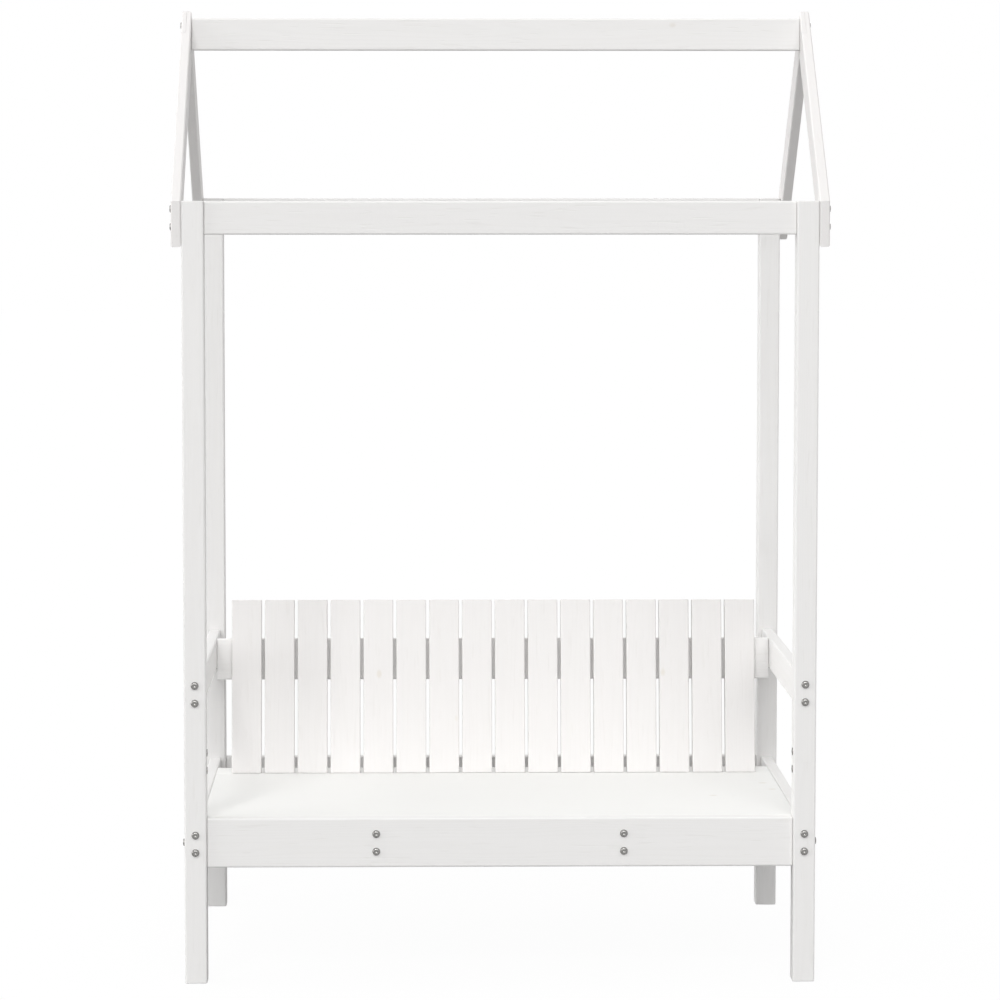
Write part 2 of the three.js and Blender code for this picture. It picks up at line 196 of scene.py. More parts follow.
floor_paper = bpy.data.materials.new("matt white studio paper")
tree = new_tree(floor_paper)
lift = add_node(tree, "ShaderNodeMath", {0: seen_directly(tree), 1: FLOOR_LIFT}, operation="MULTIPLY")
paper = add_node(tree, "ShaderNodeBsdfDiffuse", {"Color": colour(FLOOR_GREY)})
glow = add_node(tree, "ShaderNodeEmission", {"Color": colour(WHITE), "Strength": GLOW})
lifted = add_node(tree, "ShaderNodeMixShader", {0: lift.outputs[0], 1: paper.outputs[0], 2: glow.outputs[0]})
add_node(tree, "ShaderNodeOutputMaterial", {"Surface": lifted.outputs[0]})

floor_mesh = bpy.data.meshes.new("floor")
half = FLOOR_SIDE / 2
floor_corners = [(-half, -half, 0), (half, -half, 0), (half, half, 0), (-half, half, 0)]
floor_mesh.from_pydata(floor_corners, [], [(0, 1, 2, 3)])
floor_mesh.materials.append(floor_paper)
floor = bpy.data.objects.new("floor", floor_mesh)
bpy.context.scene.collection.objects.link(floor)
print("floor in metres:", FLOOR_SIDE, "by", FLOOR_SIDE)

# %% [markdown]
# The finish of the boards is satin white paint on planed pine. Two thin coats hide the colour
# of the wood but not its surface: the hard rings stand a little proud, knots and resin
# pockets leave small marks, and the fibres keep the sheen from being even. Each board could have
# a pattern of its own, but the wood is the same in all of them. So the pattern is built once, as
# a node group, in the frame of a board whose grain runs along x.

# %% A group for the grain
grain = bpy.data.node_groups.new("pine under paint", "ShaderNodeTree")
grain.interface.new_socket("Place", in_out="INPUT", socket_type="NodeSocketVector")
grain.interface.new_socket("Pith", in_out="INPUT", socket_type="NodeSocketVector")
for name in ("Rings", "Marks", "Knots", "Fibres", "Brush"):
    grain.interface.new_socket(name, in_out="OUTPUT", socket_type="NodeSocketFloat")
entry = add_node(grain, "NodeGroupInput")
place = entry.outputs["Place"]


def stretched(tree, vector, along, across):
    """The vector measured in pattern sizes: along the grain and across it."""
    scale = (1 / along, 1 / across, 1 / across)
    return add_node(tree, "ShaderNodeVectorMath", {0: vector, 1: scale}, operation="MULTIPLY").outputs[0]


print("patterns in the grain group:", [s.name for s in grain.interface.items_tree if s.in_out == "OUTPUT"])

# %% [markdown]
# Growth rings could be drawn as stripes, but stripes look wrong on one face or another. Here they
# are cylinders round a pith that lies outside the board, as in a tree, so a wide face gets long
# flames, an edge gets stripes and a sawn end gets arcs, all from one set of numbers. A slow
# noise bends them, because no trunk is a true cylinder.

# %% Growth rings
RING_WIDTH = 3.4 * MM
RING_WARP = 9 * MM
WARP_ALONG = 420 * MM
WARP_ACROSS = 60 * MM
NOISE_MIDDLE = 0.5
# A ring is a wave from -1 to 1, and its wood gets hard from this height on.
HARD_WOOD_FROM = -0.2

warp_noise = add_node(grain, "ShaderNodeTexNoise",
                      {"Vector": stretched(grain, place, WARP_ALONG, WARP_ACROSS),
                       "Scale": 1.0, "Detail": 2.0})
swing = add_node(grain, "ShaderNodeVectorMath",
                 {0: warp_noise.outputs["Color"], 1: (NOISE_MIDDLE, NOISE_MIDDLE, NOISE_MIDDLE)},
                 operation="SUBTRACT")
# Noise swings by half a unit to each side of its middle, so it is doubled here.
warp = add_node(grain, "ShaderNodeVectorMath", {0: swing.outputs[0], 1: (0, 2 * RING_WARP, 2 * RING_WARP)},
                operation="MULTIPLY")
warped = add_node(grain, "ShaderNodeVectorMath", {0: place, 1: warp.outputs[0]}, operation="ADD")
from_pith = add_node(grain, "ShaderNodeVectorMath", {0: warped.outputs[0], 1: entry.outputs["Pith"]},
                     operation="SUBTRACT")
across_trunk = add_node(grain, "ShaderNodeVectorMath", {0: from_pith.outputs[0], 1: (0, 1, 1)},
                        operation="MULTIPLY")
radius = add_node(grain, "ShaderNodeVectorMath", {0: across_trunk.outputs[0]}, operation="LENGTH")
turns = add_node(grain, "ShaderNodeMath", {0: radius.outputs["Value"], 1: 2 * pi / RING_WIDTH},
                 operation="MULTIPLY")
wave = add_node(grain, "ShaderNodeMath", {0: turns.outputs[0]}, operation="SINE")
rings = add_node(grain, "ShaderNodeMapRange",
                 {"Value": wave.outputs[0], "From Min": HARD_WOOD_FROM, "From Max": 1.0},
                 interpolation_type="SMOOTHSTEP")
print("rings in 40 mm of wood:", round(40 * MM / RING_WIDTH))

# %% [markdown]
# Pine has small resin pockets along the rings, and here and there a knot where a branch grew.
# Both still show under the paint. They could be placed by hand, but there are many of them. A
# long noise, cut off near its peaks, gives the pockets. Cells of random shape give the knots:
# each cell has a random colour, and those where its red is low have a knot at their heart.

# %% Resin marks and knots
MARK_LENGTH = 45 * MM
MARK_WIDTH = 4 * MM
# A mark starts where its noise passes the first value, and is full from the second on.
MARK_FROM = 0.68
MARK_FULL = 0.80
KNOT_SPACING_ALONG = 110 * MM
KNOT_SPACING_ACROSS = 70 * MM
# A knot's radius as a share of its cell, how many times smaller its core is, and the share of
# the cells that have a knot
KNOT_RADIUS_SHARE = 0.10
KNOT_TO_CORE = 3
KNOTTY_SHARE = 0.16

mark_noise = add_node(grain, "ShaderNodeTexNoise",
                      {"Vector": stretched(grain, warped.outputs[0], MARK_LENGTH, MARK_WIDTH),
                       "Scale": 1.0, "Detail": 0.0})
marks = add_node(grain, "ShaderNodeMapRange",
                 {"Value": mark_noise.outputs[0], "From Min": MARK_FROM, "From Max": MARK_FULL},
                 interpolation_type="SMOOTHSTEP")
knot_cells = add_node(grain, "ShaderNodeTexVoronoi",
                      {"Vector": stretched(grain, place, KNOT_SPACING_ALONG, KNOT_SPACING_ACROSS),
                       "Scale": 1.0})
knot_spots = add_node(grain, "ShaderNodeMapRange",
                      {"Value": knot_cells.outputs["Distance"], "From Min": KNOT_RADIUS_SHARE,
                       "From Max": KNOT_RADIUS_SHARE / KNOT_TO_CORE}, interpolation_type="SMOOTHSTEP")
cell_colour = add_node(grain, "ShaderNodeSeparateXYZ", {"Vector": knot_cells.outputs["Color"]})
knotty = add_node(grain, "ShaderNodeMath", {0: cell_colour.outputs["X"], 1: KNOTTY_SHARE},
                  operation="LESS_THAN")
knots = add_node(grain, "ShaderNodeMath", {0: knot_spots.outputs[0], 1: knotty.outputs[0]},
                 operation="MULTIPLY")
print("share of cells with a knot:", KNOTTY_SHARE)

# %% [markdown]
# The finest patterns are the fibres of the wood and the strokes of the brush. Real fibres are
# thinner than a tenth of a millimetre, which no picture of a whole seat can show, so they are
# drawn as bundles nearly a millimetre wide. Both are noises that are stretched along the grain.

# %% Fibres and brush strokes
FIBRE_LENGTH = 60 * MM
FIBRE_WIDTH = 0.9 * MM
BRUSH_LENGTH = 180 * MM
BRUSH_WIDTH = 2.2 * MM

fibres = add_node(grain, "ShaderNodeTexNoise",
                  {"Vector": stretched(grain, place, FIBRE_LENGTH, FIBRE_WIDTH), "Scale": 1.0, "Detail": 2.0})
brush = add_node(grain, "ShaderNodeTexNoise",
                 {"Vector": stretched(grain, place, BRUSH_LENGTH, BRUSH_WIDTH), "Scale": 1.0, "Detail": 1.0})
add_node(grain, "NodeGroupOutput",
         {"Rings": rings.outputs[0], "Marks": marks.outputs[0], "Knots": knots.outputs[0],
          "Fibres": fibres.outputs[0], "Brush": brush.outputs[0]})
print("nodes in the grain group:", len(grain.nodes))

# %% [markdown]
# The paint is a plain white, a little greyer over the hard rings and a little browner over the
# knots. The boards that are sat on get a whiter copy of it, which lets less of the rings show. This
# is painted light, which makes their upward faces brighter than the lamps alone make them. Slats
# and rafters get a slightly greyer copy, which is painted shade that holds down the light on the
# leaning slats and on the roof slopes. The tongues inside the splices are bare pine. One colour
# would make plastic of it, so each finish has three: the ground, the rings and the knots.

# %% Paints and bare pine
# Colours of the ground, the rings and the knots, then the roughness
PAINTED = {"name": "satin white paint on pine", "ground": "E6E5E4", "rings": "D2D0CC", "knots": "CFC8BB",
           "roughness": 0.62}
# The seat paint is whiter than the rest as painted light, so that the seat's top faces look brighter.
SEAT_PAINT_AS_PAINTED_LIGHT = dict(PAINTED, name="three coats of white paint on pine", ground="EBEBE9", rings="DFDDDA")
# The thin-board paint is greyer as painted shade, which holds down the light on the slats and rafters.
THIN_BOARD_PAINT_AS_PAINTED_SHADE = dict(PAINTED, name="white paint on thin pine boards", ground="E0DEDD", rings="CFCCC8")
BARE = {"name": "planed pine", "ground": "DDBE8E", "rings": "A66F3A", "knots": "6F4222", "roughness": 0.65}
print("finishes:", [finish["name"] for finish in (PAINTED, SEAT_PAINT_AS_PAINTED_LIGHT, THIN_BOARD_PAINT_AS_PAINTED_SHADE, BARE)])

# %% [markdown]
# Paint hides colour better than it hides shape, so the patterns tint it only a little and go
# mostly into the bump. Each finish could mix them in its own way, but all of them are the same
# wood, painted or bare, so one set of shares serves them all.

# %% How strongly each pattern shows
# How far each pattern takes the paint towards its second colour
SHADE_SHARES = {"Rings": 0.05, "Marks": 0.12, "Brush": 0.10}
KNOT_TINT = 0.45
# How far each pattern raises or sinks the surface, as a share of the relief
HEIGHT_SHARES = {"Rings": 0.12, "Marks": -0.45, "Knots": 0.35, "Fibres": 0.08}
RELIEF = 0.35 * MM
RELIEF_STRENGTH = 0.6
# The fibres make the paint smoother or rougher by this much.
SMOOTHER_BY = 0.08
ROUGHER_BY = 0.10


def weighted(tree, pattern, shares):
    """The sum of some of the grain's patterns, each times its share."""
    total = 0.0
    for part, share in shares.items():
        total = add_node(tree, "ShaderNodeMath", {0: pattern.outputs[part], 1: share, 2: total},
                         operation="MULTIPLY_ADD").outputs[0]
    return total


print("relief of the grain in mm:", round(RELIEF / MM, 2))

# %% [markdown]
# Each board came from another place in a tree, so each has its own copy of the material with
# its own frame: where its middle is, which way its grain runs and where its pith lay. One
# material for all would make the grain run across half of the boards. The paint has the typical
# index of refraction of a resin and a satin roughness.

# %% The surface of a board
RESIN_IOR = 1.5
# The pith lies beside a board at the nearest distance or further off, and sways up and down.
PITH_NEAREST = 34 * MM
PITH_RANGE = 40 * MM
PITH_SWAY = 30 * MM
LOG_STEP = 1.7
# Steps of the golden section, taken round and round from 0 to 1, never fall close together.
GOLDEN_SHARE = 0.618


def pine(finish, name, middle, along, index):
    """The surface of one board, whose fibres run in the direction along."""
    material = bpy.data.materials.new(finish["name"] + ", " + name)
    tree = new_tree(material)
    turn = Vector((1, 0, 0)).rotation_difference(along).to_euler()
    spread = index * GOLDEN_SHARE % 1.0
    pith_side = 1 if index % 2 else -1
    pith = (0, pith_side * (PITH_NEAREST + PITH_RANGE * spread), (spread - 0.5) * PITH_SWAY)
    where = add_node(tree, "ShaderNodeTexCoord")
    on_board = add_node(tree, "ShaderNodeMapping", {"Vector": where.outputs["Object"], "Location": middle,
                                                    "Rotation": turn}, vector_type="TEXTURE")
    # Every board is cut from another stretch of the same log.
    in_log = add_node(tree, "ShaderNodeVectorMath", {0: on_board.outputs[0], 1: (index * LOG_STEP, 0, 0)},
                      operation="ADD")
    pattern = add_node(tree, "ShaderNodeGroup", node_tree=grain)
    tree.links.new(in_log.outputs[0], pattern.inputs["Place"])
    pattern.inputs["Pith"].default_value = pith

    shaded = add_node(tree, "ShaderNodeMix", {0: weighted(tree, pattern, SHADE_SHARES),
                                              6: colour(finish["ground"]), 7: colour(finish["rings"])},
                      data_type="RGBA")
    tinting = weighted(tree, pattern, {"Knots": KNOT_TINT})
    tinted = add_node(tree, "ShaderNodeMix", {0: tinting, 6: shaded.outputs[2], 7: colour(finish["knots"])},
                      data_type="RGBA")
    relief = add_node(tree, "ShaderNodeBump", {"Height": weighted(tree, pattern, HEIGHT_SHARES),
                                               "Strength": RELIEF_STRENGTH, "Distance": RELIEF})
    sheen = add_node(tree, "ShaderNodeMapRange", {"Value": pattern.outputs["Fibres"],
                                                  "To Min": finish["roughness"] - SMOOTHER_BY,
                                                  "To Max": finish["roughness"] + ROUGHER_BY})
    surface = add_node(tree, "ShaderNodeBsdfPrincipled",
                       {"Base Color": tinted.outputs[2], "Roughness": sheen.outputs[0], "IOR": RESIN_IOR,
                        "Normal": relief.outputs[0]})
    add_node(tree, "ShaderNodeOutputMaterial", {"Surface": surface.outputs[0]})
    return material


print("distance of the pith from a board's middle in mm:", round(PITH_NEAREST / MM), "or more")

# %% [markdown]
# The grain of a board runs along its length, because a tree is sawn lengthwise. Posts stand,
# aprons and top rails lie across the seat, side rails run front to back, the slats lean, and the
# rafters climb to the ridge. The direction could be measured from the longest side of a board's
# box, but that is wrong for the boards that lean, and the name of each board says it as well.

# %% Paint the boards
BACK_LEAN = radians(7.5)
ROOF_PITCH = radians(45)
ACROSS_SEAT = Vector((1, 0, 0))
FRONT_TO_BACK = Vector((0, 1, 0))
UP = Vector((0, 0, 1))
UP_THE_BACK = Vector((0, sin(BACK_LEAN), cos(BACK_LEAN)))
BEHIND_THE_BACK = Vector((0, cos(BACK_LEAN), -sin(BACK_LEAN)))


def grain_direction(name):
    """The direction of a board's fibres, from what the board is called."""
    if name.endswith("rafter"):
        towards_back = 1 if name.startswith("front") else -1
        return Vector((0, towards_back * cos(ROOF_PITCH), sin(ROOF_PITCH)))
    if "slat" in name:
        return UP_THE_BACK
    if name.endswith(("leg", "post", "tongue")):
        return UP
    if name.endswith(("seat_rail", "arm_rail", "bearer", "cleat")):
        return FRONT_TO_BACK
    return ACROSS_SEAT


boards = sorted(name for name in NODES if "bolt" not in name)
for index, name in enumerate(boards):
    low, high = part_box(name)
    finish, slot_name = (BARE, "bare_wood") if name.endswith("tongue") else (PAINTED, "painted_wood")
    # The seat boards get the whiter paint, which is painted light on their top faces.
    if name in ("seat_panel", "back_foot_board"):
        finish = SEAT_PAINT_AS_PAINTED_LIGHT
    # The slats and rafters get the greyer paint, which is painted shade on them.
    if "slat" in name or name.endswith("rafter"):
        finish = THIN_BOARD_PAINT_AS_PAINTED_SHADE
    material = pine(finish, name.replace("_", " "), (low + high) / 2, grain_direction(name), index)
    NODES[name].data.materials.clear()
    NODES[name].data.materials.append(material)
print("boards with a finish:", len(boards))

# %% [markdown]
# Leg and post meet end to end, and the paint runs over that joint. The boards keep a small gap
# there, which would show as a dark slit. Filler could be modelled as a ring round the joint, but
# a thin slab in the gap does the same: it has the outline of the post, a little smaller, and
# leaves only a faint line all round.

# %% Paint in the splices
POST_SIDE = 40 * MM
POST_ARRIS = 3 * MM
ARRIS_STEPS = 2
SEAM_SUNK = 0.1 * MM

seam_side = POST_SIDE - 2 * SEAM_SUNK
seam_paint = pine(PAINTED, "splices", Vector(), UP, len(boards))
for name in [name for name in boards if name.endswith("_leg")]:
    leg_low, leg_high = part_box(name)
    leg_middle = (leg_low + leg_high) / 2
    post_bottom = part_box(name.replace("leg", "post"))[0].z
    shape = bmesh.new()
    bmesh.ops.create_cube(shape, size=1.0)
    bmesh.ops.scale(shape, vec=(seam_side, seam_side, post_bottom - leg_high.z), verts=shape.verts)
    corners = [edge for edge in shape.edges if edge.verts[0].co.xy == edge.verts[1].co.xy]
    bmesh.ops.bevel(shape, geom=corners, offset=POST_ARRIS, segments=ARRIS_STEPS, affect="EDGES")
    seam_mesh = bpy.data.meshes.new(name.replace("leg", "splice_paint"))
    shape.to_mesh(seam_mesh)
    shape.free()
    seam_mesh.materials.append(seam_paint)
    seam = bpy.data.objects.new(seam_mesh.name, seam_mesh)
    seam.location = (leg_middle.x, leg_middle.y, (leg_high.z + post_bottom) / 2)
    bpy.context.scene.collection.objects.link(seam)
    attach(seam, "root")
print("width of a splice in mm:", round(seam_side / MM, 1))

# %% [markdown]
# The bolts and nuts are mild steel with a bright zinc plate. Zinc is a plain grey and a little
# cloudy, because the plate has a fine crystal grain, so its reflections are soft. A polished
# metal would mirror the studio too clearly. The clouds change both colour and roughness, and fine
# pits break the shine. Zinc is a metal, so its colour is its reflection and it keeps the default
# index.

# %% Bright zinc plate
ZINC_GREY = "A2A19F"
ZINC_CLOUDED = "666563"
ZINC_SMOOTHEST = 0.12
ZINC_ROUGHEST = 0.24
CLOUD_SIZE = 2.5 * MM
PIT_SIZE = 0.25 * MM
PIT_DEPTH = 0.05 * MM
PIT_STRENGTH = 0.25

zinc = bpy.data.materials.new("zinc-plated steel")
tree = new_tree(zinc)
where = add_node(tree, "ShaderNodeTexCoord")
clouds = add_node(tree, "ShaderNodeTexNoise",
                  {"Vector": where.outputs["Object"], "Scale": 1 / CLOUD_SIZE, "Detail": 3.0})
pits = add_node(tree, "ShaderNodeTexNoise", {"Vector": where.outputs["Object"], "Scale": 1 / PIT_SIZE})
metal_colour = add_node(tree, "ShaderNodeMix",
                        {0: clouds.outputs[0], 6: colour(ZINC_GREY), 7: colour(ZINC_CLOUDED)},
                        data_type="RGBA")
dulling = add_node(tree, "ShaderNodeMapRange",
                   {"Value": clouds.outputs[0], "To Min": ZINC_SMOOTHEST, "To Max": ZINC_ROUGHEST})
relief = add_node(tree, "ShaderNodeBump",
                  {"Height": pits.outputs[0], "Strength": PIT_STRENGTH, "Distance": PIT_DEPTH})
plate = add_node(tree, "ShaderNodeBsdfPrincipled",
                 {"Base Color": metal_colour.outputs[2], "Metallic": 1.0, "Roughness": dulling.outputs[0],
                  "Normal": relief.outputs[0]})
add_node(tree, "ShaderNodeOutputMaterial", {"Surface": plate.outputs[0]})
print("metal:", zinc.name)

# %% [markdown]
# Every fastener here is turned or pressed about one axis. It could be cut from cylinders, but cuts
# leave ragged meshes. A list of rings describes it cleanly: the radius, the height and the number
# of corners of each ring. A round ring has none, a hexagon socket has six, and a cross recess
# is a ring that swings between its four arms and its throat.

# %% Outline of a ring
ROUND = 0
CROSS = 4
HEXAGON = 6
# The throat of a cross recess, as a share of the reach of its arms
CROSS_THROAT_SHARE = 0.42


def ring_radius(radius, corners, angle):
    """The distance from the axis to a ring's outline, in the given direction."""
    if corners == ROUND:
        return radius
    wedge = 2 * pi / corners
    if corners == HEXAGON:
        return radius / cos(angle % wedge - wedge / 2)
    from_arm = abs((angle + wedge / 2) % wedge - wedge / 2)
    return min(radius, radius * CROSS_THROAT_SHARE / max(sin(from_arm), CROSS_THROAT_SHARE))


print("corners that a ring can have:", ROUND, CROSS, HEXAGON)

# %% [markdown]
# The rings are joined by quads, and both ends are closed with one flat face each, so every
# fastener is a closed solid. A modifier could spin an outline, but it can't change from round to
# six-sided on the way. Edges that turn sharply stay sharp, and all others are shaded as curves.

# %% Rings into a solid
RING_STEPS = 48
SMOOTH_ANGLE = radians(32)


def ring_mesh(name, rings, material):
    """A closed mesh through rings of (radius, height, corners), from the first ring to the last."""
    shape = bmesh.new()
    loops = []
    for radius, height, corners in rings:
        loop = []
        for step in range(RING_STEPS):
            angle = 2 * pi * step / RING_STEPS
            distance = ring_radius(radius, corners, angle)
            loop.append(shape.verts.new((distance * cos(angle), distance * sin(angle), height)))
        loops.append(loop)
    for lower, upper in zip(loops, loops[1:]):
        for step in range(RING_STEPS):
            following = (step + 1) % RING_STEPS
            shape.faces.new((lower[step], lower[following], upper[following], upper[step]))
    shape.faces.new(reversed(loops[0]))
    shape.faces.new(loops[-1])
    bmesh.ops.recalc_face_normals(shape, faces=shape.faces)
    mesh = bpy.data.meshes.new(name)
    shape.to_mesh(mesh)
    shape.free()
    mesh.shade_smooth()
    mesh.set_sharp_from_angle(angle=SMOOTH_ANGLE)
    mesh.materials.append(material)
    return mesh


print("points in a ring:", RING_STEPS)

# %% [markdown]
# The bolts are M8 with a low button head and a hexagon socket. The dome starts from a thin
# rim and flattens towards the socket, whose edge is slightly broken. The shank runs through
# the first board into a barrel nut in the second. The bolts on the sides have a flatter head, and
# the short ones at the splices a thin one, so that nothing catches on them inside the seat. Their
# threads stay inside the wood, so they are left off.

# %% A button-head bolt
BOLT_RADIUS = 4 * MM
SHANK_CHAMFER = 1 * MM
HEAD_RADIUS = 7 * MM
HEAD_HEIGHT = 4.4 * MM
SIDE_HEAD_HEIGHT = 3.2 * MM
THIN_HEAD_HEIGHT = 1.6 * MM
HEAD_RIM = 0.8 * MM
CROWN_RADIUS = 3.6 * MM
SOCKET_RADIUS = 2.5 * MM
SOCKET_DEPTH = 2.6 * MM
SOCKET_CONE_DEPTH = SOCKET_RADIUS / 3
SOCKET_CONE_TIP = SOCKET_RADIUS / 4
BROKEN_EDGE = 0.25 * MM
DOME_STEPS = 7


def bolt_mesh(length, head_height=HEAD_HEIGHT):
    """A bolt whose head stands on z = 0 and whose shank goes down by the given length."""
    dome = []
    for step in range(DOME_STEPS + 1):
        angle = step / DOME_STEPS * pi / 2
        radius = CROWN_RADIUS + (HEAD_RADIUS - CROWN_RADIUS) * cos(angle)
        dome.append((radius, HEAD_RIM + (head_height - HEAD_RIM) * sin(angle), ROUND))
    rings = [
        (BOLT_RADIUS - SHANK_CHAMFER, -length, ROUND),
        (BOLT_RADIUS, SHANK_CHAMFER - length, ROUND),
        (BOLT_RADIUS, 0, ROUND),
        (HEAD_RADIUS - BROKEN_EDGE, 0, ROUND),
        (HEAD_RADIUS, BROKEN_EDGE, ROUND),
        *dome,
        (SOCKET_RADIUS + BROKEN_EDGE, head_height, HEXAGON),
        (SOCKET_RADIUS, head_height - BROKEN_EDGE, HEXAGON),
        (SOCKET_RADIUS, head_height - SOCKET_DEPTH, HEXAGON),
        (SOCKET_CONE_TIP, head_height - SOCKET_DEPTH - SOCKET_CONE_DEPTH, ROUND),
    ]
    sizes = str(round(length / MM)) + " mm, head " + str(round(head_height / MM, 1)) + " mm"
    return ring_mesh("button-head bolt " + sizes, rings, zinc)


print("head of a bolt in mm:", round(2 * HEAD_RADIUS / MM, 1), "across,", round(HEAD_HEIGHT / MM, 1), "high")

# %% [markdown]
# A bolt's length follows from the boards that it crosses: through the first, then into the end of
# the second as far as its barrel nut and a little past it. Each length is a mesh of its own,
# which all bolts of that length share.

# %% Lengths of the bolts
RAIL_THICKNESS = 22 * MM
RAFTER_THICKNESS = 18 * MM
TONGUE_DEPTH = 15 * MM
NUT_FROM_END = 30 * MM
BOLT_PAST_NUT = 6 * MM

inside_rail = NUT_FROM_END + BOLT_PAST_NUT
post_bolt = bolt_mesh(POST_SIDE + inside_rail)
bearer_bolt = bolt_mesh(RAIL_THICKNESS + inside_rail)
apron_bolt = bolt_mesh(POST_SIDE + inside_rail, SIDE_HEAD_HEIGHT)
rafter_bolt = bolt_mesh(RAFTER_THICKNESS + POST_SIDE + inside_rail, SIDE_HEAD_HEIGHT)
ridge_bolt = bolt_mesh(RAFTER_THICKNESS + inside_rail, SIDE_HEAD_HEIGHT)
beam_bolt = bolt_mesh(RAIL_THICKNESS + inside_rail, SIDE_HEAD_HEIGHT)
splice_bolt = bolt_mesh(POST_SIDE / 2 + TONGUE_DEPTH / 2, THIN_HEAD_HEIGHT)
for mesh in (post_bolt, bearer_bolt, apron_bolt, rafter_bolt, ridge_bolt, beam_bolt, splice_bolt):
    print(mesh.name)

# %% [markdown]
# A barrel nut is a short steel rod that drops into a cross bore, with a screwdriver slot in
# its end so that its thread can be turned to face the bolt. It sits just under the surface. The
# rod is made of rings too, and its slot is a strip of its end that is cut free and sunk.

# %% Barrel nut
NUT_RADIUS = 4.9 * MM
NUT_LENGTH = 14 * MM
NUT_CHAMFER = 0.5 * MM
SLOT_WIDTH = 1.4 * MM
SLOT_DEPTH = 1.6 * MM
# A face looks up where the z of its normal is above this.
LOOKING_UP = 0.5


def barrel_nut_mesh():
    """A rod with chamfered ends and a slot across its upper end, which lies at z = 0."""
    rings = [
        (NUT_RADIUS - NUT_CHAMFER, -NUT_LENGTH, ROUND),
        (NUT_RADIUS, NUT_CHAMFER - NUT_LENGTH, ROUND),
        (NUT_RADIUS, -NUT_CHAMFER, ROUND),
        (NUT_RADIUS - NUT_CHAMFER, 0, ROUND),
    ]
    mesh = ring_mesh("barrel nut", rings, zinc)
    shape = bmesh.new()
    shape.from_mesh(mesh)
    # Two cuts through the rod, along both walls of the slot, free the strip between them.
    for offset in (-SLOT_WIDTH / 2, SLOT_WIDTH / 2):
        geometry = shape.verts[:] + shape.edges[:] + shape.faces[:]
        bmesh.ops.bisect_plane(shape, geom=geometry, plane_co=(0, offset, 0), plane_no=(0, 1, 0))
    strip = [face for face in shape.faces
             if face.normal.z > LOOKING_UP and abs(face.calc_center_median().y) < SLOT_WIDTH / 2]
    sunk = bmesh.ops.extrude_face_region(shape, geom=strip)
    moved = [item for item in sunk["geom"] if isinstance(item, bmesh.types.BMVert)]
    bmesh.ops.translate(shape, verts=moved, vec=(0, 0, -SLOT_DEPTH))
    bmesh.ops.delete(shape, geom=strip, context="FACES")
    bmesh.ops.recalc_face_normals(shape, faces=shape.faces)
    shape.to_mesh(mesh)
    shape.free()
    return mesh


barrel_nut = barrel_nut_mesh()
print("faces of a barrel nut:", len(barrel_nut.polygons))

# %% [markdown]
# Each bolt goes where its board is bored for it. The places could be typed in, but they would be
# wrong as soon as a board changed. They come from the boards' own boxes instead, so the heads
# sit on the faces that carry them. Left and right, and front and back, mirror each other, so a
# sign tells them apart.

# %% Sides, ends and faces
X = 0
Y = 1
Z = 2
SIDES_OF_SEAT = (("left", -1), ("right", 1))
ENDS_OF_SEAT = (("front", -1), ("back", 1))
CORNERS = [(end, side, x_sign, y_sign) for end, y_sign in ENDS_OF_SEAT for side, x_sign in SIDES_OF_SEAT]


def middle_of(name):
    """The middle of a board."""
    low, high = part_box(name)
    return (low + high) / 2


def face_of(name, axis, sign):
    """Where a board's face lies along an axis: the lower face for -1, the upper face for 1."""
    low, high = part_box(name)
    return low[axis] if sign < 0 else high[axis]


print("corners of the seat:", len(CORNERS))

# %% [markdown]
# A bolt and its nut are made at the origin and then put in place, turned so that the head, or the
# slot of the nut, looks out of the wood. Each could be modelled where it stands, but then no two
# would share a mesh. Most bolts come in pairs, one above the other. Twelve of them stand for
# plainer ones in the frame, and the rest are made only here.

# %% Fit a bolt and its nut
BOLT_PITCH = 32 * MM
BOLT_PAIR = (-BOLT_PITCH / 2, BOLT_PITCH / 2)
JOINT_GAP = 0.3 * MM
NUT_BELOW_FACE = 1.2 * MM
made_bolts = []


def fit(name, mesh, place, outwards):
    """A fastener at a place on the wood, with its head facing outwards, riding on the seat."""
    piece = bpy.data.objects.new(name, mesh)
    piece.location = place
    piece.rotation_euler = outwards.to_track_quat("Z", "Y").to_euler()
    bpy.context.scene.collection.objects.link(piece)
    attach(piece, "root")
    return piece


def fit_with_nut(name, mesh, place, outwards, nut_middle, slot_faces):
    """A bolt, and the barrel nut across the middle of a rail that it ends in."""
    bolt = fit(name, mesh, place, outwards)
    made_bolts.append(bolt)
    nut_end = nut_middle + slot_faces * (RAIL_THICKNESS / 2 - NUT_BELOW_FACE)
    fit(name.replace("bolt", "nut"), barrel_nut, nut_end, slot_faces)
    return bolt


print("distance between the bolts of a pair in mm:", round(BOLT_PITCH / MM))

# %% [markdown]
# At each corner the arm rail and the seat rail butt against an inner face of the post or leg and
# are drawn up by two bolts through it, one above the other, so that they can't twist. The apron
# butts against the leg's other inner face and is drawn up by one bolt from the side. A joiner
# would cut mortises here, but bolts let the seat be packed flat.

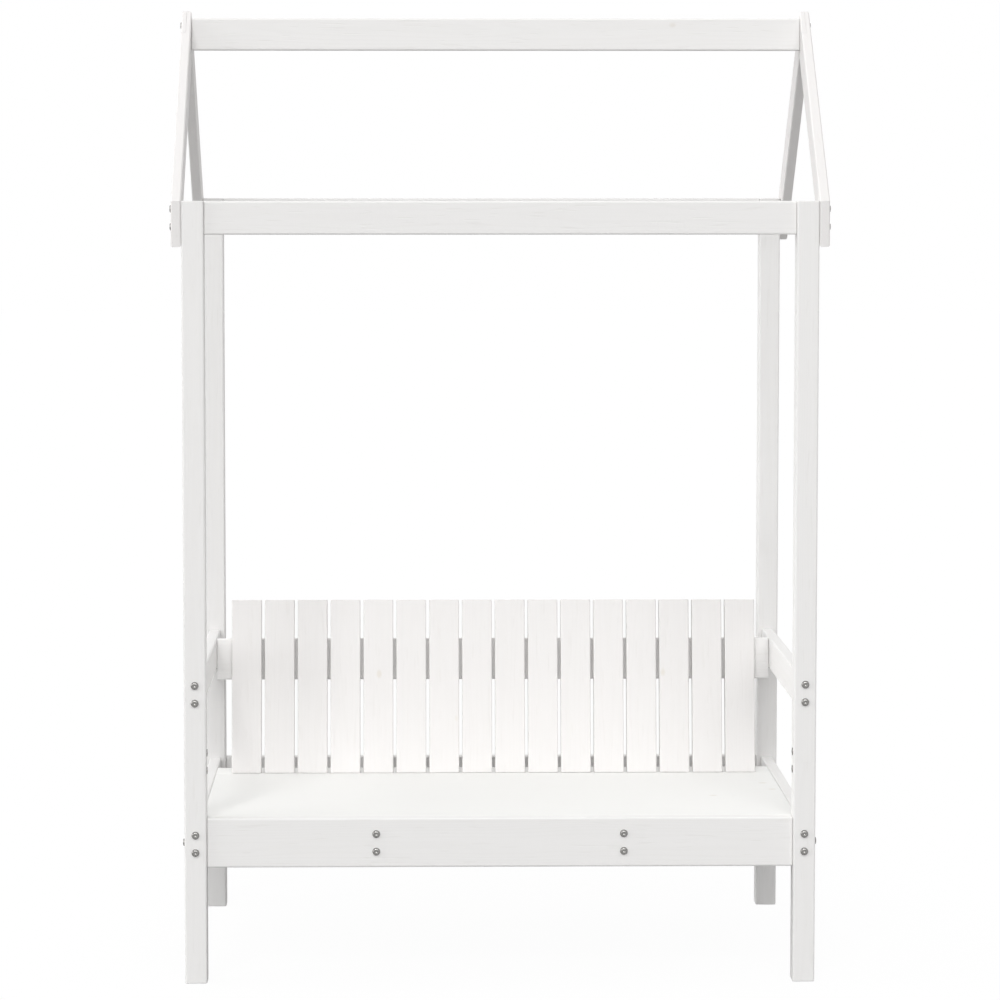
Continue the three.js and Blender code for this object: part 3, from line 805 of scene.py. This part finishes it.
# %% Bolts through posts and legs
for end, side, x_sign, y_sign in CORNERS:
    corner = end + "_" + side
    facing = FRONT_TO_BACK * y_sign
    sideways = ACROSS_SEAT * x_sign
    post_middle = middle_of(corner + "_post")
    face_y = face_of(corner + "_leg", Y, y_sign)
    face_x = face_of(corner + "_leg", X, x_sign)
    nut_y = face_y - y_sign * (POST_SIDE + JOINT_GAP + NUT_FROM_END)
    nut_x = face_x - x_sign * (POST_SIDE + JOINT_GAP + NUT_FROM_END)

    for rail in ("arm", "seat"):
        rail_z = middle_of(side + "_" + rail + "_rail").z
        for number, offset in enumerate(BOLT_PAIR, 1):
            z = rail_z + offset
            name = corner + "_" + rail + "_rail_bolt_" + str(number)
            place = Vector((post_middle.x, face_y + y_sign * JOINT_GAP, z))
            piece = fit_with_nut(name, post_bolt, place, facing, Vector((post_middle.x, nut_y, z)), sideways)
            if rail == "arm":
                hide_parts(corner + "_arm_bolt_" + str(number))

    z = middle_of(end + "_apron").z
    place = Vector((face_x + x_sign * JOINT_GAP, post_middle.y, z))
    piece = fit_with_nut(corner + "_apron_end_bolt", apron_bolt, place, sideways,
                         Vector((nut_x, post_middle.y, z)), -facing)
    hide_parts(corner + "_apron_bolt")
print("bolts so far:", len(made_bolts))

# %% [markdown]
# In the roof, two long bolts go through the foot of each rafter and the post into the top rail,
# and hold all three. At the apex two bolts go through both lapped rafters into the end of the
# ridge beam. The rafters lie outside the posts, so all of these heads show on the sides.

# %% Bolts in the roof
for end, side, x_sign, y_sign in CORNERS:
    corner = end + "_" + side
    post_middle = middle_of(corner + "_post")
    rafter_x = face_of(corner + "_rafter", X, x_sign)
    nut_x = face_of(corner + "_leg", X, x_sign) - x_sign * (POST_SIDE + JOINT_GAP + NUT_FROM_END)
    for number, offset in enumerate(BOLT_PAIR, 1):
        z = middle_of(end + "_top_rail").z + offset
        fit_with_nut(corner + "_rafter_bolt_" + str(number), rafter_bolt,
                     Vector((rafter_x, post_middle.y, z)), ACROSS_SEAT * x_sign,
                     Vector((nut_x, post_middle.y, z)), FRONT_TO_BACK * -y_sign)

ridge_middle = middle_of("ridge_beam")
for side, x_sign in SIDES_OF_SEAT:
    rafter_x = face_of("front_" + side + "_rafter", X, x_sign)
    nut_x = face_of("ridge_beam", X, x_sign) - x_sign * NUT_FROM_END
    for number, offset in enumerate(BOLT_PAIR, 1):
        z = ridge_middle.z + offset
        fit_with_nut(side + "_ridge_bolt_" + str(number), ridge_bolt,
                     Vector((rafter_x, ridge_middle.y, z)), ACROSS_SEAT * x_sign,
                     Vector((nut_x, ridge_middle.y, z)), FRONT_TO_BACK)
print("bolts so far:", len(made_bolts))

# %% [markdown]
# The splice of leg and post is held by one short bolt each side of the joint, which goes into the
# tongue inside and needs no nut. On the front posts these bolts sit on the inner side, where
# they show least, and on the back posts they sit on the back.

# %% Bolts in the splices
for end, side, x_sign, y_sign in CORNERS:
    corner = end + "_" + side
    post_middle = middle_of(corner + "_post")
    joint_z = (face_of(corner + "_leg", Z, 1) + face_of(corner + "_post", Z, -1)) / 2
    for number, offset in enumerate(BOLT_PAIR, 1):
        z = joint_z + offset
        if end == "front":
            place = Vector((face_of(corner + "_leg", X, -x_sign), post_middle.y, z))
            outwards = ACROSS_SEAT * -x_sign
        else:
            place = Vector((post_middle.x, face_of(corner + "_leg", Y, y_sign), z))
            outwards = FRONT_TO_BACK * y_sign
        made_bolts.append(fit(corner + "_splice_bolt_" + str(number), splice_bolt, place, outwards))
print("bolts so far:", len(made_bolts))

# %% [markdown]
# Two bearers under the seat run from apron to apron. Two bolts through each apron go into the end
# of each bearer, and their heads show on the front apron. They also keep the long aprons from
# bowing outwards.

# %% Bolts in the seat bearers
for side, x_sign in SIDES_OF_SEAT:
    bearer = side + "_seat_bearer"
    bearer_x = middle_of(bearer).x
    for end, y_sign in ENDS_OF_SEAT:
        apron_y = face_of(end + "_apron", Y, y_sign)
        nut_y = face_of(bearer, Y, y_sign) - y_sign * NUT_FROM_END
        for number, offset in enumerate(BOLT_PAIR, 1):
            z = middle_of(end + "_apron").z + offset
            fit_with_nut(end + "_" + side + "_bearer_bolt_" + str(number), bearer_bolt,
                         Vector((bearer_x, apron_y, z)), FRONT_TO_BACK * y_sign,
                         Vector((bearer_x, nut_y, z)), ACROSS_SEAT * -x_sign)
print("bolts so far:", len(made_bolts))

# %% [markdown]
# The beam behind the slats leans with them. It is held at each end by two bolts through the arm
# rail, from outside, one above the other up the lean, so their nuts look out of its leaning back.

# %% Bolts in the back beam
beam_middle = middle_of("back_beam")
for side, x_sign in SIDES_OF_SEAT:
    rail_face = face_of(side + "_arm_rail", X, x_sign)
    nut_x = face_of("back_beam", X, x_sign) - x_sign * NUT_FROM_END
    for number, offset in enumerate(BOLT_PAIR, 1):
        on_axis = beam_middle + UP_THE_BACK * offset
        fit_with_nut(side + "_back_beam_bolt_" + str(number), beam_bolt,
                     Vector((rail_face, on_axis.y, on_axis.z)), ACROSS_SEAT * x_sign,
                     Vector((nut_x, on_axis.y, on_axis.z)), BEHIND_THE_BACK)
print("bolts placed:", len(made_bolts))

# %% [markdown]
# Countersunk wood screws hold the slats to the beam behind them and to the foot board under
# them, and the cleats to the side rails and the seat boards. A screw is a list of rings as well.
# Its head is a cone that ends almost flush with the wood, and its cross recess is modelled,
# because the screws in the back beam are seen from behind.

# %% A countersunk screw
SCREW_RADIUS = 2 * MM
SCREW_POINT = SCREW_RADIUS / 8
SCREW_TIP = 4 * MM
SCREW_CONE = 2.4 * MM
SCREW_HEAD_RADIUS = 4 * MM
SCREW_HEAD_PROUD = 0.15 * MM
RECESS_RADIUS = 2.3 * MM
RECESS_POINT = RECESS_RADIUS / 4
RECESS_DEPTH = 1.8 * MM
SHORT_SCREW = 32 * MM
LONG_SCREW = 45 * MM


def screw_mesh(length):
    """A screw with its flat head just above z = 0, sunk into the wood below it."""
    rings = [
        (SCREW_POINT, -length, ROUND),
        (SCREW_RADIUS, SCREW_TIP - length, ROUND),
        (SCREW_RADIUS, -SCREW_CONE, ROUND),
        (SCREW_HEAD_RADIUS - BROKEN_EDGE, -BROKEN_EDGE, ROUND),
        (SCREW_HEAD_RADIUS, 0, ROUND),
        (SCREW_HEAD_RADIUS - BROKEN_EDGE, SCREW_HEAD_PROUD, ROUND),
        (RECESS_RADIUS, SCREW_HEAD_PROUD, CROSS),
        (RECESS_RADIUS - BROKEN_EDGE, SCREW_HEAD_PROUD - RECESS_DEPTH, CROSS),
        (RECESS_POINT, SCREW_HEAD_PROUD - RECESS_DEPTH, ROUND),
    ]
    return ring_mesh("countersunk screw " + str(round(length / MM)), rings, zinc)


short_screw = screw_mesh(SHORT_SCREW)
long_screw = screw_mesh(LONG_SCREW)
print("meshes of the screws:", short_screw.name, "and", long_screw.name)

# %% [markdown]
# Each slat is held by two short screws through the beam and by one long screw up through the foot
# board that it stands on. All of them are driven from behind or from below, so none shows
# on the side that is leaned on. They could be left off, but the back of the seat is seen too.

# %% Screws in the slats
FOOT_SCREW_INSET = RAIL_THICKNESS / 2

made_screws = []
foot_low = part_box("back_foot_board")[0]
for name in sorted(name for name in NODES if "slat" in name):
    slat_x = middle_of(name).x
    for number, offset in enumerate(BOLT_PAIR, 1):
        place = beam_middle + UP_THE_BACK * offset + BEHIND_THE_BACK * RAIL_THICKNESS / 2
        place.x = slat_x
        made_screws.append(fit(name + "_beam_screw_" + str(number), short_screw, place, BEHIND_THE_BACK))
    place = Vector((slat_x, foot_low.y + FOOT_SCREW_INSET, foot_low.z))
    made_screws.append(fit(name + "_foot_screw", long_screw, place, -UP))
print("screws in the slats:", len(made_screws))

# %% [markdown]
# The cleats carry the ends of the seat boards. Their screws take turns: one goes outwards into
# the side rail, and the next goes up into the seat boards, so that no two of them meet in the wood.

# %% Screws in the cleats
SCREWS_ALONG_CLEAT = 4
# Both places are shares of the spacing.
RAIL_SCREW_AT = 0.3
SEAT_SCREW_AT = 0.7

for side, x_sign in SIDES_OF_SEAT:
    cleat = side + "_seat_cleat"
    cleat_low, cleat_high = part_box(cleat)
    spacing = (cleat_high.y - cleat_low.y) / SCREWS_ALONG_CLEAT
    for number in range(SCREWS_ALONG_CLEAT):
        y = cleat_low.y + (number + RAIL_SCREW_AT) * spacing
        place = Vector((face_of(cleat, X, -x_sign), y, middle_of(cleat).z))
        name = side + "_cleat_rail_screw_" + str(number + 1)
        made_screws.append(fit(name, short_screw, place, ACROSS_SEAT * -x_sign))
        y = cleat_low.y + (number + SEAT_SCREW_AT) * spacing
        name = side + "_cleat_seat_screw_" + str(number + 1)
        made_screws.append(fit(name, short_screw, Vector((middle_of(cleat).x, y, cleat_low.z)), -UP))
print("screws placed:", len(made_screws))
